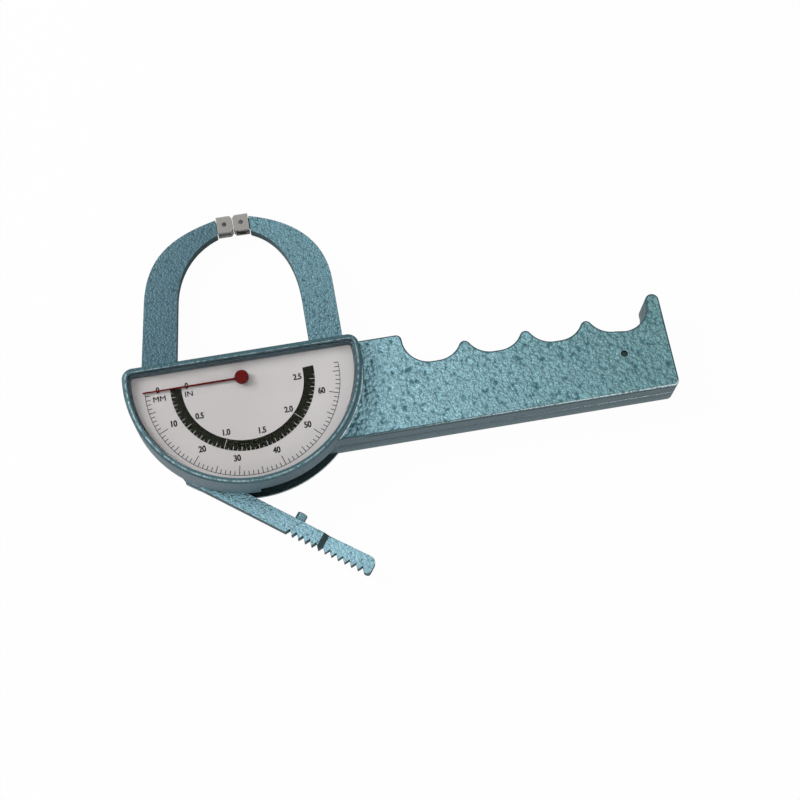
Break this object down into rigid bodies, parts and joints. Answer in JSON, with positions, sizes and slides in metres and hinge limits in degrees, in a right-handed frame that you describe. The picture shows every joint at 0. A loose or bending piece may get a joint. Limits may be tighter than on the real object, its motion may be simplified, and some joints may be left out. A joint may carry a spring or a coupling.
{
  "type": "skinfold caliper",
  "caption": "Skinfold caliper: a dial case with a finger-grooved handle, one fixed arm, and a spring-closed arm with a thumb lever that turns the pointer through gears.",
  "frame": {"origin": "where the pointer's axis meets the flat back face", "axes": "+X along the handle, +Y towards the jaws, +Z out of the dial"},
  "size_m": [0.2355, 0.173, 0.025],
  "materials": {
    "hammer_paint": "blue-green hammertone enamel, coarse dimples on the castings and finer on the arms and lever",
    "plated_steel": "nickel-plated turned steel",
    "dark_steel": "dark oiled steel",
    "brass": "machined brass",
    "dial_print": "pale grey-white printed dial with dark markings",
    "clear_lens": "thin clear flat lens",
    "pointer_red": "dark red lacquer",
    "tip_plastic": "grey-beige translucent moulded plastic",
    "spring_steel": "spring wire"
  },
  "bodies": {
    "frame": {"front_shell": "hammer_paint", "back_shell": "hammer_paint", "fixed_arm": "hammer_paint", "fixed_arm_screws": "plated_steel", "case_screw": "plated_steel", "handle_screws": "plated_steel", "handle_rivet": "hammer_paint", "dial_plate": "dial_print", "dial_lens": "clear_lens", "movement_plate": "brass", "movement_screws": "plated_steel", "arbor_bush": "brass", "idler_stud": "plated_steel", "arm_pivot_pin": "plated_steel", "pivot_clip": "dark_steel", "thrust_washer": "brass", "pivot_spacer": "brass", "spring_anchor": "plated_steel", "main_spring": "spring_steel", "fixed_tip_pin": "dark_steel"},
    "arm": {"moving_arm": "hammer_paint", "pivot_bush": "brass", "sector_gear": "brass", "sector_rivets": "brass", "spring_stud": "plated_steel", "stop_peg": "hammer_paint", "moving_tip_pin": "dark_steel"},
    "fixed_tip": {"fixed_jaw_tip": "tip_plastic"},
    "moving_tip": {"moving_jaw_tip": "tip_plastic"},
    "pointer": {"pointer_arbor": "plated_steel", "arbor_pinion": "brass", "arbor_collar": "plated_steel", "pointer_needle": "pointer_red", "pointer_cap": "pointer_red"},
    "idler": {"idler_gear": "brass"}
  },
  "joints": [
    {"name": "arm_pivot", "type": "hinge", "parent": "frame", "child": "arm", "pos_m": [-0.01, -0.018, 0.0062], "axis": [0, 0, 1], "range_deg": [0, 38], "stiffness_Nm_per_rad": 0.15, "springref_deg": -114.59, "deforming": ["main_spring"]},
    {"name": "pointer_spin", "type": "hinge", "parent": "frame", "child": "pointer", "pos_m": [0, 0, 0.015], "axis": [0, 0, 1], "range_deg": [0, 171]},
    {"name": "idler_spin", "type": "hinge", "parent": "frame", "child": "idler", "pos_m": [0.00813, -0.00385, 0.0105], "axis": [0, 0, 1], "range_deg": [-136.8, 0]},
    {"name": "fixed_tip_pivot", "type": "hinge", "parent": "frame", "child": "fixed_tip", "pos_m": [0.00978, 0.0788, 0.0062], "axis": [0, 0, 1], "range_deg": [-2, 2]},
    {"name": "moving_tip_pivot", "type": "hinge", "parent": "arm", "child": "moving_tip", "pos_m": [0.00222, 0.0788, 0.0062], "axis": [0, 0, 1], "range_deg": [-2, 2]}
  ],
  "couplings": [
    {"joint": "pointer_spin", "follows": "arm_pivot", "ratio": 4.5},
    {"joint": "idler_spin", "follows": "arm_pivot", "ratio": -3.6}
  ]
}
